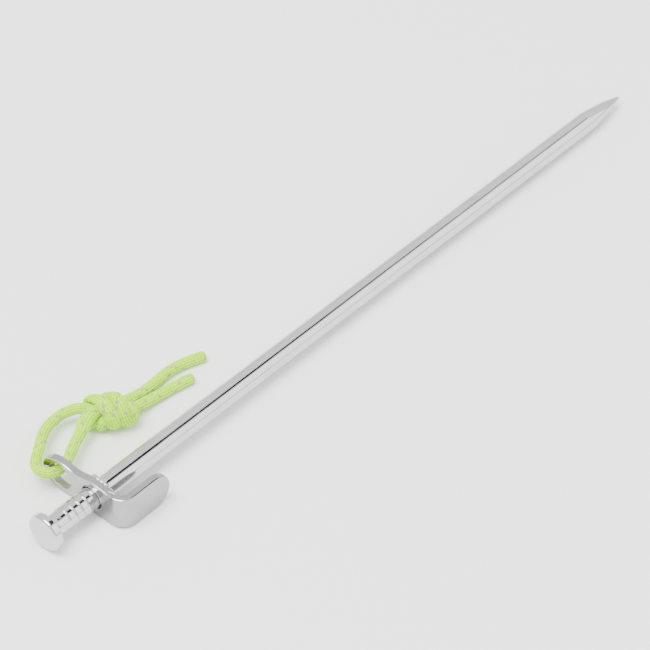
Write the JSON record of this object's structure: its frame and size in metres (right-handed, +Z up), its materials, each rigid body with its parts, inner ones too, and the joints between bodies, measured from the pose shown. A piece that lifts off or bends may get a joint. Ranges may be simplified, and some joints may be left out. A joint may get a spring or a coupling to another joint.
{
  "type": "tent stake",
  "caption": "Steel nail tent stake: flat head, ringed neck, round shaft and point, welded hook plate with eye and bent flap, and a knotted cord lanyard.",
  "frame": {"origin": "bottom centre of the metal stake's box as it lies at rest on the ground", "axes": "+X along the stake from the head to the point, +Y towards the eye, +Z up"},
  "size_m": [0.3, 0.0545, 0.0147],
  "materials": {
    "plated_steel": "bright nickel plating over drawn and forged steel",
    "weld_metal": "small weld fillet, plated over, uneven and slightly duller",
    "braided_cord": "lime green braided polyester sheath with silver-grey reflective flecks, cut ends sealed by melting"
  },
  "bodies": {
    "stake": {"stake_shaft": "plated_steel", "hook_plate": "plated_steel", "weld_bead": "weld_metal"},
    "lanyard": {"lanyard_loop": "braided_cord", "lanyard_knot": "braided_cord", "lanyard_tail_long": "braided_cord", "lanyard_tail_short": "braided_cord"}
  },
  "joints": [
    {"name": "lanyard_swing", "type": "hinge", "parent": "stake", "child": "lanyard", "pos_m": [-0.12555, 0.0176, 0.00732], "axis": [0, 0, 1], "range_deg": [-8, 150]}
  ]
}
